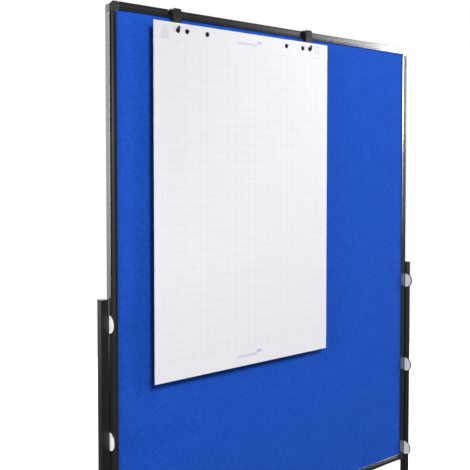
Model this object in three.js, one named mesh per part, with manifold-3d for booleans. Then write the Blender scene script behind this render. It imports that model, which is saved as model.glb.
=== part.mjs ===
// Mobile pin board with a flipchart pad hung over its top rail. Millimetres, +Z up.
// The origin is on the floor under the middle of the board. The pinning side that carries the pad faces -Y.
import * as THREE from 'three';
import { mergeVertices } from 'three/addons/utils/BufferGeometryUtils.js';
import Module from 'manifold-3d';

const wasm = await Module();
wasm.setup();

// ---------- driving dimensions ----------

// board and its frame
const BOARD_WIDTH = 1200;
const BOARD_HEIGHT = 1500;
const BOARD_TOP = 1950;
const FRAME_FACE = 22;
const FRAME_DEPTH = 22;
const FRAME_EDGE_RADIUS = 2;
const FRAME_LIP = 2.9;
const FRAME_BACK_WALL = 2;
const FRAME_OUTER_WALL = 2.5;
const PANEL_BITE = 10;
const PANEL_EDGE_ROOM = 2;
const FACE_GROOVE_START = 14.2;
const FACE_GROOVE_WIDTH = 2.6;
const FACE_GROOVE_DEPTH = 0.8;
const CAP_REACH = 28;
const CAP_OUTER_RADIUS = 15;
const CAP_INNER_RADIUS = 2;
const CAP_PROUD = 0.3;
const SPIGOT_LENGTH = 8;
const FELT_THICKNESS = 1;
const CLEARANCE = 0.3;

// uprights and the eccentric clamp discs that tie the board to them
const POST_SIZE = 22;
const POST_WALL = 2;
const POST_GAP = 6;
const POST_TOP = 1175;
const POST_CAP_THICKNESS = 2.5;
const POST_CAP_PLUG = 14;
const DISC_RADIUS = 25;
const DISC_THICKNESS = 4.4;
const DISC_OFFSET = 13;
const DISC_FROM_POST_TOP = 65;
const DISCS_PER_POST = 3;
const STUD_DIAMETER = 8;
const STUD_HEAD_DIAMETER = 11;
const STUD_ROOM = 0.5;
const STUD_HEAD_THICKNESS = 3;
const STUD_INTO_POST = 9;

// feet
const FOOT_LENGTH = 560;
const FOOT_WIDTH = 40;
const FOOT_HEIGHT = 25;
const FOOT_WALL = 2;
const FOOT_SPIGOT_HEIGHT = 80;
const FOOT_CAP_THICKNESS = 3;
const FOOT_CAP_PLUG = 12;
const LOCK_SCREW_HEIGHT = 45;
const LOCK_SCREW_DIAMETER = 6;
const LOCK_SCREW_LENGTH = 14;
const LOCK_HEAD_DIAMETER = 12;
const LOCK_HEAD_THICKNESS = 3.5;

// castors
const CASTOR_SPREAD = 500;
const WHEEL_DIAMETER = 50;
const WHEEL_WIDTH = 22;
const WHEEL_TRAIL = 18;
const WHEEL_ROOM = 1.4;
const CHEEK_THICKNESS = 3;
const FORK_BRIDGE = 7;
const WHEEL_HEADROOM = 7.7;
const FORK_TOP_RADIUS = 16;
const STEM_DIAMETER = 11;
const STEM_LENGTH = 22;
const AXLE_DIAMETER = 8;
const AXLE_HEAD_DIAMETER = 12;
const AXLE_HEAD_THICKNESS = 1.5;
const PEDAL_PIN_DIAMETER = 5;
const PEDAL_PIN_Y = 26;
const PEDAL_PIN_BELOW_TOP = 11;
const PEDAL_REACH = 30;
const PEDAL_THICKNESS = 4.5;

// hooks and their pins
const HOOK_SPACING = 497;
const HOOK_CENTRE_X = -150;
const HOOK_WIDTH = 27;
const HOOK_CLEARANCE = 0.8;
const HOOK_BRIDGE = 2.2;
const HOOK_FRONT_THICKNESS = 12;
const HOOK_REAR_THICKNESS = 3.5;
const HOOK_REAR_DROP = 33.4;
const HOOK_LEG_THICKNESS = 5;
const HOOK_LEG_DROP = 73.4;
const HOOK_CORNER_RADIUS = 5;
const PIN_DIAMETER = 6;
const PIN_HEAD_DIAMETER = 10;
const PIN_TIP_DIAMETER = 7.4;
const PIN_OFFSET_X = -3.5;
const PIN_FORWARD = 3.8;
const PIN_RISE = 8;
const PIN_ABOVE_END = 12;

// flipchart pad
const PAD_WIDTH = 650;
const PAD_HEIGHT = 980;
const PAD_CENTRE_X = -153.5;
const PAD_STANDOFF = 3.9;
const PAD_CARD = 1.2;
const PAD_BLOCK = 2.4;
const PAD_SHEET = 0.4;
const PAD_HEAD_HEIGHT = 48;
const PAD_HOLE_DIAMETER = 13;
const PAD_CARD_HOLE_DIAMETER = 9;
const PAD_HOLE_DROP = 20;
const PAD_HOLES = [149.5, 218, 248];
const PAD_CARD_HOLES = [248];

// ---------- values that follow from them ----------

const BOARD_BOTTOM = BOARD_TOP - BOARD_HEIGHT;
const BOARD_MIDDLE = (BOARD_TOP + BOARD_BOTTOM) / 2;
const HALF_WIDTH = BOARD_WIDTH / 2;
const HALF_DEPTH = FRAME_DEPTH / 2;
const SLOT_HALF = HALF_DEPTH - FRAME_LIP;
const SLOT_START = FRAME_FACE - PANEL_BITE - PANEL_EDGE_ROOM;
const PANEL_START = FRAME_FACE - PANEL_BITE;
const PANEL_FACE = SLOT_HALF - CLEARANCE;
const CORE_HALF = PANEL_FACE - FELT_THICKNESS - CLEARANCE;
const CHAMBER_START = FRAME_OUTER_WALL;
const CHAMBER_END = SLOT_START - FRAME_BACK_WALL;
const CHAMBER_HALF = SLOT_HALF;

const FOOT_BOTTOM = WHEEL_DIAMETER + WHEEL_HEADROOM + FORK_BRIDGE + CLEARANCE;
const FOOT_TOP = FOOT_BOTTOM + FOOT_HEIGHT;
const POST_X = HALF_WIDTH + POST_GAP + POST_SIZE / 2;
const POST_TUBE_TOP = POST_TOP - POST_CAP_THICKNESS - CLEARANCE;
const POST_BORE = POST_SIZE - 2 * POST_WALL;
const POST_TUBE_BOTTOM = FOOT_TOP + CLEARANCE;

const HOOK_TOP = BOARD_TOP + HOOK_CLEARANCE + HOOK_BRIDGE;
const HOOK_FRONT = -(HALF_DEPTH + HOOK_CLEARANCE + HOOK_FRONT_THICKNESS);
const PAD_REAR = HOOK_FRONT - PAD_STANDOFF;
const CARD_FRONT = PAD_REAR - PAD_CARD;
const BLOCK_REAR = CARD_FRONT - CLEARANCE;
const BLOCK_FRONT = BLOCK_REAR - PAD_BLOCK;
const SHEET_REAR = BLOCK_FRONT - CLEARANCE;
const SHEET_FRONT = SHEET_REAR - PAD_SHEET;
const PIN_Z = HOOK_TOP - HOOK_LEG_DROP + PIN_ABOVE_END;
const PAD_TOP = PIN_Z + PAD_HOLE_DROP;
const PAD_BOTTOM = PAD_TOP - PAD_HEIGHT;
const PAD_TEAR_LINE = PAD_TOP - PAD_HEAD_HEIGHT;

// ---------- materials ----------

const material = (color, roughness, metalness) => () =>
  new THREE.MeshStandardMaterial({ color, roughness, metalness });
const anodised = material(0x8f9194, 0.35, 1);
const cornerPlastic = material(0x3c3d40, 0.55, 0);
const felt = material(0x1450c0, 0.95, 0);
const fibreboard = material(0x9a8466, 0.9, 0);
const discPlastic = material(0xe6e7e8, 0.4, 0);
const steel = material(0xb4b6b8, 0.3, 1);
const footPaint = material(0x2c2d2f, 0.5, 0.3);
const blackPlastic = material(0x141415, 0.45, 0);
const tyreRubber = material(0x26272a, 0.8, 0);
const paper = material(0xf2f2f6, 0.9, 0);
const card = material(0xb9b2a4, 0.9, 0);

// ---------- geometry helpers ----------

function toSolid(geometry) {
  const bare = geometry.clone();
  bare.deleteAttribute('normal');
  bare.deleteAttribute('uv');
  const merged = mergeVertices(bare, 1e-4);
  return new wasm.Manifold(new wasm.Mesh({
    numProp: 3,
    vertProperties: new Float32Array(merged.attributes.position.array),
    triVerts: new Uint32Array(merged.index.array),
  }));
}

function toGeometry(solid) {
  const mesh = solid.getMesh();
  const positions = new Float32Array(mesh.vertProperties);
  const geometry = new THREE.BufferGeometry();
  geometry.setAttribute('position', new THREE.BufferAttribute(positions, 3));
  geometry.setIndex(new THREE.BufferAttribute(new Uint32Array(mesh.triVerts), 1));
  geometry.computeVertexNormals();
  return geometry;
}

const moved = (geometry, x, y, z) => geometry.translate(x, y, z);

// a block given by its lowest and highest corners
function block(low, high) {
  const size = high.map((value, i) => value - low[i]);
  const middle = high.map((value, i) => (value + low[i]) / 2);
  return moved(new THREE.BoxGeometry(...size), ...middle);
}

// a cylinder along X, Y or Z between two places on that axis
function rod(axis, radius, from, to, centre, sides = 14) {
  const geometry = new THREE.CylinderGeometry(radius, radius, to - from, sides);
  const middle = (from + to) / 2;
  if (axis === 'x') return moved(geometry.rotateZ(-Math.PI / 2), middle, centre[0], centre[1]);
  if (axis === 'y') return moved(geometry, centre[0], middle, centre[1]);
  return moved(geometry.rotateX(Math.PI / 2), centre[0], centre[1], middle);
}

// an outline in the Y-Z plane, extruded along X and centred on x = 0
function alongX(shape, length, curveSegments = 8) {
  const geometry = new THREE.ExtrudeGeometry(shape, { depth: length, bevelEnabled: false, curveSegments });
  const turn = new THREE.Matrix4().makeBasis(
    new THREE.Vector3(0, 1, 0), new THREE.Vector3(0, 0, 1), new THREE.Vector3(1, 0, 0));
  return moved(geometry, 0, 0, -length / 2).applyMatrix4(turn);
}

// an outline in the X-Z plane, extruded along Y and centred on y = 0
function alongY(shape, length, curveSegments = 8) {
  const geometry = new THREE.ExtrudeGeometry(shape, { depth: length, bevelEnabled: false, curveSegments });
  return moved(geometry, 0, 0, -length / 2).rotateX(Math.PI / 2);
}

// a turned piece from [radius, height] pairs, its axis laid along +X
function turned(profile, sides = 16) {
  const points = profile.map(([radius, height]) => new THREE.Vector2(radius, height));
  return new THREE.LatheGeometry(points, sides).rotateZ(-Math.PI / 2);
}

function roundedRectangle(left, bottom, right, top, radius) {
  const shape = new THREE.Shape();
  shape.moveTo(left + radius, bottom);
  shape.lineTo(right - radius, bottom);
  shape.absarc(right - radius, bottom + radius, radius, -Math.PI / 2, 0, false);
  shape.lineTo(right, top - radius);
  shape.absarc(right - radius, top - radius, radius, 0, Math.PI / 2, false);
  shape.lineTo(left + radius, top);
  shape.absarc(left + radius, top - radius, radius, Math.PI / 2, Math.PI, false);
  shape.lineTo(left, bottom + radius);
  shape.absarc(left + radius, bottom + radius, radius, Math.PI, Math.PI * 1.5, false);
  return shape;
}

const board = new THREE.Group();

function add(name, geometry, makeMaterial, place = {}) {
  const mesh = new THREE.Mesh(geometry, makeMaterial());
  mesh.name = name;
  mesh.position.set(...(place.position ?? [0, 0, 0]));
  mesh.rotation.set(...(place.rotation ?? [0, 0, 0]));
  board.add(mesh);
}

// ---------- pinning panel ----------

const panelX = HALF_WIDTH - PANEL_START;
const panelLow = BOARD_BOTTOM + PANEL_START;
const panelHigh = BOARD_TOP - PANEL_START;

add('core_board', block([-panelX, -CORE_HALF, panelLow], [panelX, CORE_HALF, panelHigh]), fibreboard);
const feltBack = PANEL_FACE - FELT_THICKNESS;
add('felt_front', block([-panelX, -PANEL_FACE, panelLow], [panelX, -feltBack, panelHigh]), felt);
add('felt_rear', block([-panelX, feltBack, panelLow], [panelX, PANEL_FACE, panelHigh]), felt);

// ---------- frame profiles ----------

// One half of the section is written from the outer edge (height 0) inwards, and mirrored front to back.
function frameSection() {
  const edge = FRAME_EDGE_RADIUS;
  const grooveEnd = FACE_GROOVE_START + FACE_GROOVE_WIDTH;
  const grooveFloor = HALF_DEPTH - FACE_GROOVE_DEPTH;
  const shape = new THREE.Shape();
  shape.moveTo(HALF_DEPTH - edge, 0);
  shape.absarc(-(HALF_DEPTH - edge), -edge, edge, Math.PI / 2, Math.PI, false);
  const front = [
    [HALF_DEPTH, FACE_GROOVE_START], [grooveFloor, FACE_GROOVE_START],
    [grooveFloor, grooveEnd], [HALF_DEPTH, grooveEnd],
    [HALF_DEPTH, FRAME_FACE], [SLOT_HALF, FRAME_FACE], [SLOT_HALF, SLOT_START],
  ];
  front.forEach(([depth, inward]) => shape.lineTo(-depth, -inward));
  front.reverse().forEach(([depth, inward]) => shape.lineTo(depth, -inward));
  shape.absarc(HALF_DEPTH - edge, -edge, edge, 0, Math.PI / 2, false);
  const chamber = new THREE.Path();
  chamber.moveTo(-CHAMBER_HALF, -CHAMBER_START);
  chamber.lineTo(CHAMBER_HALF, -CHAMBER_START);
  chamber.lineTo(CHAMBER_HALF, -CHAMBER_END);
  chamber.lineTo(-CHAMBER_HALF, -CHAMBER_END);
  shape.holes.push(chamber);
  return shape;
}

const profileLength = (side) => side - 2 * (CAP_REACH + CLEARANCE);

// The discs are spread evenly between the top one and the lowest one that clears the corner cap's spigot.
const highestDisc = POST_TOP - DISC_FROM_POST_TOP;
const lowestDisc = BOARD_BOTTOM + CAP_REACH + SPIGOT_LENGTH + STUD_ROOM + STUD_HEAD_DIAMETER / 2;
const discSpacing = (highestDisc - lowestDisc) / (DISCS_PER_POST - 1);
const discHeights = Array.from({ length: DISCS_PER_POST }, (unused, i) => highestDisc - i * discSpacing);

function profile(length) {
  return alongX(frameSection(), length, 4);
}

const QUARTER = Math.PI / 2;
const railLength = profileLength(BOARD_WIDTH);
add('top_rail', moved(profile(railLength), 0, 0, BOARD_TOP), anodised);
add('bottom_rail', moved(profile(railLength).rotateY(Math.PI), 0, 0, BOARD_BOTTOM), anodised);

function stile(side) {
  const bar = profile(profileLength(BOARD_HEIGHT)).rotateY(side * QUARTER);
  const upright = toSolid(moved(bar, side * HALF_WIDTH, 0, BOARD_MIDDLE));
  const wall = [side * (HALF_WIDTH - CHAMBER_END), side * (HALF_WIDTH + 1)].sort((a, b) => a - b);
  return discHeights.reduce((solid, height) => {
    const bore = rod('x', STUD_DIAMETER / 2 + CLEARANCE, wall[0], wall[1], [0, height]);
    return solid.subtract(toSolid(bore));
  }, upright);
}

add('left_stile', toGeometry(stile(-1)), anodised);
add('right_stile', toGeometry(stile(1)), anodised);

// ---------- corner caps ----------

// The cap is drawn for the upper left corner with the corner itself at the local origin.
function cornerCap() {
  const shape = new THREE.Shape();
  const reach = CAP_REACH;
  const face = FRAME_FACE;
  shape.moveTo(0, -reach);
  shape.lineTo(face, -reach);
  shape.lineTo(face, -face - CAP_INNER_RADIUS);
  const innerCentre = face + CAP_INNER_RADIUS;
  shape.absarc(innerCentre, -innerCentre, CAP_INNER_RADIUS, Math.PI, Math.PI / 2, true);
  shape.lineTo(reach, -face);
  shape.lineTo(reach, 0);
  shape.lineTo(CAP_OUTER_RADIUS, 0);
  shape.absarc(CAP_OUTER_RADIUS, -CAP_OUTER_RADIUS, CAP_OUTER_RADIUS, Math.PI / 2, Math.PI, false);
  const outside = toSolid(alongY(shape, FRAME_DEPTH + 2 * CAP_PROUD, 6));
  const past = reach + 5;
  const slot = block([SLOT_START, -SLOT_HALF, -past], [past, SLOT_HALF, -SLOT_START]);
  const near = CHAMBER_START + CLEARANCE;
  const far = CHAMBER_END - CLEARANCE;
  const half = CHAMBER_HALF - CLEARANCE;
  const end = reach + SPIGOT_LENGTH;
  const sideways = block([SLOT_START, -half, -far], [end, half, -near]);
  const downwards = block([near, -half, -end], [far, half, -SLOT_START]);
  return outside.subtract(toSolid(slot)).add(toSolid(sideways)).add(toSolid(downwards));
}

const capGeometry = toGeometry(cornerCap());
const corners = [
  ['corner_cap_top_left', -1, BOARD_TOP, 0],
  ['corner_cap_top_right', 1, BOARD_TOP, 1],
  ['corner_cap_bottom_right', 1, BOARD_BOTTOM, 2],
  ['corner_cap_bottom_left', -1, BOARD_BOTTOM, 3],
];
corners.forEach(([name, side, height, turns]) => {
  add(name, capGeometry.clone(), cornerPlastic, {
    position: [side * HALF_WIDTH, 0, height],
    rotation: [0, turns * QUARTER, 0],
  });
});

// ---------- uprights, clamp discs and studs ----------

function squareTube(outer, wall, from, to) {
  const half = outer / 2;
  const bore = half - wall;
  const body = toSolid(block([-half, -half, from], [half, half, to]));
  return body.subtract(toSolid(block([-bore, -bore, from - 1], [bore, bore, to + 1])));
}

function post(side) {
  const tube = squareTube(POST_SIZE, POST_WALL, POST_TUBE_BOTTOM, POST_TUBE_TOP);
  const inward = -side;
  const bored = discHeights.reduce((solid, height) => {
    const from = inward > 0 ? 0 : -POST_SIZE;
    const bore = rod('x', STUD_DIAMETER / 2 + CLEARANCE, from, from + POST_SIZE, [0, height]);
    return solid.subtract(toSolid(bore));
  }, tube);
  const outerFrom = side > 0 ? 0 : -POST_SIZE;
  const lockBore = rod('x', LOCK_SCREW_DIAMETER / 2 + CLEARANCE, outerFrom, outerFrom + POST_SIZE,
    [0, FOOT_TOP + LOCK_SCREW_HEIGHT]);
  return bored.subtract(toSolid(lockBore));
}

function postCap() {
  const half = POST_SIZE / 2;
  const plug = POST_BORE / 2 - CLEARANCE;
  const plate = toSolid(block([-half, -half, POST_TOP - POST_CAP_THICKNESS], [half, half, POST_TOP]));
  const plugTop = POST_TOP - POST_CAP_THICKNESS;
  return plate.add(toSolid(block([-plug, -plug, plugTop - POST_CAP_PLUG], [plug, plug, plugTop])));
}

// The disc sits eccentrically on its stud: turned forwards it stands in front of the upright.
function clampDisc() {
  const half = DISC_THICKNESS / 2;
  const edge = 0.6;
  const disc = turned([
    [0, -half], [DISC_RADIUS - edge, -half], [DISC_RADIUS, -half + edge],
    [DISC_RADIUS, half - edge], [DISC_RADIUS - edge, half], [0, half],
  ], 36);
  const placed = toSolid(moved(disc, 0, -DISC_OFFSET, 0));
  return placed.subtract(toSolid(rod('x', STUD_DIAMETER / 2 + CLEARANCE, -half - 1, half + 1, [0, 0])));
}

// The stud's head is inside the frame's chamber and its thread ends inside the upright.
function stud() {
  const headRadius = STUD_HEAD_DIAMETER / 2;
  const shaft = STUD_DIAMETER / 2;
  const headFace = -(FRAME_OUTER_WALL + CLEARANCE);
  const end = POST_GAP + STUD_INTO_POST;
  return turned([
    [0, headFace - STUD_HEAD_THICKNESS], [headRadius, headFace - STUD_HEAD_THICKNESS],
    [headRadius, headFace], [shaft, headFace], [shaft, end], [0, end],
  ]);
}

const discGeometry = toGeometry(clampDisc());
const SIDES = [['left', -1], ['right', 1]];
SIDES.forEach(([sideName, side]) => {
  const x = side * POST_X;
  add(`${sideName}_post`, toGeometry(post(side)), footPaint, { position: [x, 0, 0] });
  add(`${sideName}_post_cap`, toGeometry(postCap()), blackPlastic, { position: [x, 0, 0] });
  discHeights.forEach((height, i) => {
    add(`${sideName}_clamp_disc_${i + 1}`, discGeometry.clone(), discPlastic, {
      position: [side * (HALF_WIDTH + POST_GAP / 2), 0, height],
    });
    add(`${sideName}_clamp_stud_${i + 1}`, stud(), steel, {
      position: [side * HALF_WIDTH, 0, height],
      rotation: [0, 0, side > 0 ? 0 : Math.PI],
    });
  });
});

// ---------- feet ----------

function foot() {
  const half = FOOT_LENGTH / 2;
  const wide = FOOT_WIDTH / 2;
  const bore = wide - FOOT_WALL;
  const tube = toSolid(block([-wide, -half, FOOT_BOTTOM], [wide, half, FOOT_TOP]));
  const hollow = block([-bore, -half - 1, FOOT_BOTTOM + FOOT_WALL], [bore, half + 1, FOOT_TOP - FOOT_WALL]);
  const grip = POST_BORE / 2 - CLEARANCE;
  const spigot = block([-grip, -grip, FOOT_TOP - FOOT_WALL], [grip, grip, FOOT_TOP + FOOT_SPIGOT_HEIGHT]);
  let solid = tube.subtract(toSolid(hollow)).add(toSolid(spigot));
  [-1, 1].forEach((end) => {
    const stemHole = rod('z', STEM_DIAMETER / 2 + CLEARANCE, FOOT_BOTTOM - 1, FOOT_BOTTOM + FOOT_WALL + 1,
      [0, end * CASTOR_SPREAD / 2]);
    solid = solid.subtract(toSolid(stemHole));
  });
  const lock = rod('x', LOCK_SCREW_DIAMETER / 2 + CLEARANCE, -POST_SIZE, POST_SIZE,
    [0, FOOT_TOP + LOCK_SCREW_HEIGHT]);
  return solid.subtract(toSolid(lock));
}

function footCap() {
  const wide = FOOT_WIDTH / 2;
  const plug = FOOT_WALL + CLEARANCE;
  const start = FOOT_LENGTH / 2 + CLEARANCE;
  const plate = toSolid(block([-wide, start, FOOT_BOTTOM], [wide, start + FOOT_CAP_THICKNESS, FOOT_TOP]));
  return plate.add(toSolid(block(
    [-wide + plug, start - FOOT_CAP_PLUG, FOOT_BOTTOM + plug], [wide - plug, start, FOOT_TOP - plug])));
}

function lockScrew() {
  const head = LOCK_HEAD_DIAMETER / 2;
  const shaft = LOCK_SCREW_DIAMETER / 2;
  return turned([
    [0, -LOCK_SCREW_LENGTH], [shaft, -LOCK_SCREW_LENGTH], [shaft, CLEARANCE], [head, CLEARANCE],
    [head, CLEARANCE + LOCK_HEAD_THICKNESS - 1], [head - 1.5, CLEARANCE + LOCK_HEAD_THICKNESS],
    [0, CLEARANCE + LOCK_HEAD_THICKNESS],
  ]);
}

// ---------- castors ----------

const WHEEL_Z = WHEEL_DIAMETER / 2;
const FORK_TOP = FOOT_BOTTOM - CLEARANCE;
const FORK_HALF = WHEEL_WIDTH / 2 + WHEEL_ROOM + CHEEK_THICKNESS;
const PEDAL_PIN_Z = FORK_TOP - PEDAL_PIN_BELOW_TOP;

// All castor pieces are drawn with the swivel axis at y = 0 and the wheel trailing towards +y.
function castorFork() {
  const shape = new THREE.Shape();
  const axleEye = 8;
  shape.moveTo(-FORK_TOP_RADIUS, FORK_TOP);
  shape.lineTo(-FORK_TOP_RADIUS, FORK_TOP - FORK_BRIDGE);
  shape.lineTo(WHEEL_TRAIL - axleEye, WHEEL_Z);
  shape.absarc(WHEEL_TRAIL, WHEEL_Z, axleEye, Math.PI, 0, false);
  shape.lineTo(PEDAL_PIN_Y + 5, PEDAL_PIN_Z);
  shape.lineTo(PEDAL_PIN_Y + 5, PEDAL_PIN_Z + 3);
  shape.quadraticCurveTo(PEDAL_PIN_Y, FORK_TOP, FORK_TOP_RADIUS - 2, FORK_TOP);
  const blank = toSolid(alongX(shape, 2 * FORK_HALF, 5));
  const room = FORK_HALF - CHEEK_THICKNESS;
  const slotTop = FORK_TOP - FORK_BRIDGE;
  const well = block([-room, -FORK_TOP_RADIUS - 1, 0], [room, PEDAL_PIN_Y + 10, slotTop]);
  const pedalRoom = block([-room, FORK_TOP_RADIUS - 2, 0], [room, PEDAL_PIN_Y + 10, FORK_TOP + 1]);
  const stem = rod('z', STEM_DIAMETER / 2, FORK_TOP - 2, FORK_TOP + STEM_LENGTH, [0, 0]);
  const pinHoleRadius = PEDAL_PIN_DIAMETER / 2 + CLEARANCE;
  const pedalPinHole = rod('x', pinHoleRadius, -50, 50, [PEDAL_PIN_Y, PEDAL_PIN_Z], 12);
  return blank
    .subtract(toSolid(well))
    .subtract(toSolid(pedalRoom))
    .subtract(toSolid(rod('x', AXLE_DIAMETER / 2 + CLEARANCE, -50, 50, [WHEEL_TRAIL, WHEEL_Z])))
    .subtract(toSolid(pedalPinHole))
    .add(toSolid(stem));
}

function castorWheel() {
  const radius = WHEEL_DIAMETER / 2;
  const half = WHEEL_WIDTH / 2;
  const bore = AXLE_DIAMETER / 2 + CLEARANCE;
  const hub = radius * 0.62;
  return turned([
    [bore, -half], [hub, -half], [hub, -half + 2], [radius - 2.5, -half + 2], [radius, -half + 5],
    [radius, half - 5], [radius - 2.5, half - 2], [hub, half - 2], [hub, half], [bore, half], [bore, -half],
  ], 32);
}

function castorAxle() {
  const reach = FORK_HALF + CLEARANCE;
  const head = AXLE_HEAD_DIAMETER / 2;
  const shaft = AXLE_DIAMETER / 2;
  const end = reach + AXLE_HEAD_THICKNESS;
  return turned([
    [0, -end], [head - 1, -end], [head, -reach], [shaft, -reach], [shaft, reach], [head, reach],
    [head - 1, end], [0, end],
  ]);
}

function brakePedal() {
  const half = FORK_HALF - CHEEK_THICKNESS - 0.8;
  const shape = new THREE.Shape();
  const eye = 4.2;
  shape.moveTo(PEDAL_PIN_Y - eye, PEDAL_PIN_Z);
  shape.absarc(PEDAL_PIN_Y, PEDAL_PIN_Z, eye, Math.PI, Math.PI * 1.75, false);
  shape.lineTo(PEDAL_PIN_Y + PEDAL_REACH, PEDAL_PIN_Z - 5 - PEDAL_THICKNESS);
  shape.lineTo(PEDAL_PIN_Y + PEDAL_REACH + 1.5, PEDAL_PIN_Z - 5);
  shape.quadraticCurveTo(PEDAL_PIN_Y + PEDAL_REACH / 2, PEDAL_PIN_Z + 4, PEDAL_PIN_Y, PEDAL_PIN_Z + eye);
  shape.absarc(PEDAL_PIN_Y, PEDAL_PIN_Z, eye, Math.PI / 2, Math.PI, false);
  const arm = toSolid(alongX(shape, 2 * half, 5));
  const pinReach = FORK_HALF - 0.4;
  const pinAt = [PEDAL_PIN_Y, PEDAL_PIN_Z];
  return arm.add(toSolid(rod('x', PEDAL_PIN_DIAMETER / 2, -pinReach, pinReach, pinAt, 12)));
}

const forkGeometry = toGeometry(castorFork());
const pedalGeometry = toGeometry(brakePedal());
const footCapGeometry = toGeometry(footCap());

SIDES.forEach(([sideName, side]) => {
  const x = side * POST_X;
  add(`${sideName}_foot`, toGeometry(foot()), footPaint, { position: [x, 0, 0] });
  add(`${sideName}_lock_screw`, lockScrew(), steel, {
    position: [x + side * POST_SIZE / 2, 0, FOOT_TOP + LOCK_SCREW_HEIGHT],
    rotation: [0, 0, side > 0 ? 0 : Math.PI],
  });
  [['front', Math.PI], ['rear', 0]].forEach(([endName, turn]) => {
    const label = `${sideName}_${endName}`;
    const end = turn === 0 ? 1 : -1;
    const swivel = [x, end * CASTOR_SPREAD / 2, 0];
    const place = { position: swivel, rotation: [0, 0, turn] };
    add(`${label}_foot_cap`, footCapGeometry.clone(), blackPlastic, {
      position: [x, 0, 0],
      rotation: [0, 0, turn],
    });
    add(`${label}_castor_fork`, forkGeometry.clone(), blackPlastic, place);
    add(`${label}_castor_wheel`, castorWheel(), tyreRubber, {
      position: [x, swivel[1] + end * WHEEL_TRAIL, WHEEL_Z],
    });
    add(`${label}_castor_axle`, castorAxle(), steel, {
      position: [x, swivel[1] + end * WHEEL_TRAIL, WHEEL_Z],
    });
    add(`${label}_brake_pedal`, pedalGeometry.clone(), blackPlastic, place);
  });
});

// ---------- hooks over the top rail ----------

function hook() {
  const rear = HALF_DEPTH + HOOK_CLEARANCE;
  const back = rear + HOOK_REAR_THICKNESS;
  const under = BOARD_TOP + HOOK_CLEARANCE;
  const legBack = HOOK_FRONT + HOOK_LEG_THICKNESS;
  const bodyEnd = BOARD_TOP - FRAME_FACE - 2;
  const bottom = HOOK_TOP - HOOK_LEG_DROP;
  const shape = new THREE.Shape();
  shape.moveTo(HOOK_FRONT + 3, HOOK_TOP);
  shape.quadraticCurveTo(HOOK_FRONT, HOOK_TOP, HOOK_FRONT, HOOK_TOP - 3);
  shape.lineTo(HOOK_FRONT, bottom);
  shape.lineTo(legBack, bottom);
  shape.lineTo(legBack, bodyEnd - 8);
  shape.lineTo(-rear, bodyEnd);
  shape.lineTo(-rear, under);
  shape.lineTo(rear, under);
  shape.lineTo(rear, HOOK_TOP - HOOK_REAR_DROP);
  shape.lineTo(back, HOOK_TOP - HOOK_REAR_DROP);
  shape.lineTo(back, HOOK_TOP - 2);
  shape.quadraticCurveTo(back, HOOK_TOP, back - 2, HOOK_TOP);
  const half = HOOK_WIDTH / 2;
  const outline = roundedRectangle(-half, bottom, half, HOOK_TOP, HOOK_CORNER_RADIUS);
  const blank = toSolid(alongX(shape, HOOK_WIDTH, 5)).intersect(toSolid(alongY(outline, 200, 5)));
  const pinHoleRadius = PIN_DIAMETER / 2 + CLEARANCE;
  const pinHole = rod('y', pinHoleRadius, HOOK_FRONT - 2, legBack + 2, [PIN_OFFSET_X, PIN_Z]);
  return blank.subtract(toSolid(pinHole));
}

// The pin is riveted behind the leg, runs forward through the pad and turns up at its tip.
function hookPin() {
  const radius = PIN_DIAMETER / 2;
  const legBack = HOOK_FRONT + HOOK_LEG_THICKNESS;
  const bend = SHEET_FRONT - 1 - PIN_FORWARD;
  const tipHeight = PIN_Z + PIN_RISE;
  const shaft = rod('y', radius, bend, legBack + CLEARANCE + 1, [PIN_OFFSET_X, PIN_Z], 16);
  const rise = rod('z', radius, PIN_Z, tipHeight, [PIN_OFFSET_X, bend], 16);
  const elbow = moved(new THREE.SphereGeometry(radius, 12, 8), PIN_OFFSET_X, bend, PIN_Z);
  const tip = moved(new THREE.SphereGeometry(PIN_TIP_DIAMETER / 2, 12, 8), PIN_OFFSET_X, bend, tipHeight);
  const headStart = legBack + CLEARANCE;
  const head = rod('y', PIN_HEAD_DIAMETER / 2, headStart, headStart + 2, [PIN_OFFSET_X, PIN_Z]);
  return [rise, elbow, tip, head].reduce((solid, piece) => solid.add(toSolid(piece)), toSolid(shaft));
}

const hookGeometry = toGeometry(hook());
const pinGeometry = toGeometry(hookPin());
SIDES.forEach(([sideName, side]) => {
  const x = HOOK_CENTRE_X + side * HOOK_SPACING / 2;
  add(`${sideName}_hook`, hookGeometry.clone(), blackPlastic, { position: [x, 0, 0] });
  add(`${sideName}_hook_pin`, pinGeometry.clone(), blackPlastic, { position: [x, 0, 0] });
});

// ---------- flipchart pad ----------

const padLeft = PAD_CENTRE_X - PAD_WIDTH / 2;
const padRight = PAD_CENTRE_X + PAD_WIDTH / 2;

function punched(geometry, holes, diameter) {
  return holes.flatMap((offset) => [-offset, offset]).reduce((solid, offset) => {
    const hole = rod('y', diameter / 2, SHEET_FRONT - 5, PAD_REAR + 5,
      [PAD_CENTRE_X + offset, PAD_TOP - PAD_HOLE_DROP]);
    return solid.subtract(toSolid(hole));
  }, toSolid(geometry));
}

add('pad_backing', toGeometry(punched(block(
  [padLeft, CARD_FRONT, PAD_BOTTOM], [padRight, PAD_REAR, PAD_TOP]), PAD_CARD_HOLES,
  PAD_CARD_HOLE_DIAMETER)), card);
add('pad_head', toGeometry(punched(block(
  [padLeft, SHEET_FRONT, PAD_TEAR_LINE + CLEARANCE],
  [padRight, BLOCK_REAR, PAD_TOP]), PAD_HOLES, PAD_HOLE_DIAMETER)), paper);
add('pad_block', block([padLeft, BLOCK_FRONT, PAD_BOTTOM], [padRight, BLOCK_REAR, PAD_TEAR_LINE]), paper);
add('top_sheet', block([padLeft, SHEET_FRONT, PAD_BOTTOM], [padRight, SHEET_REAR, PAD_TEAR_LINE]), paper);

export default board;
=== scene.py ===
import math
import random

import bmesh
import bpy
from mathutils import Matrix, Vector


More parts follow.
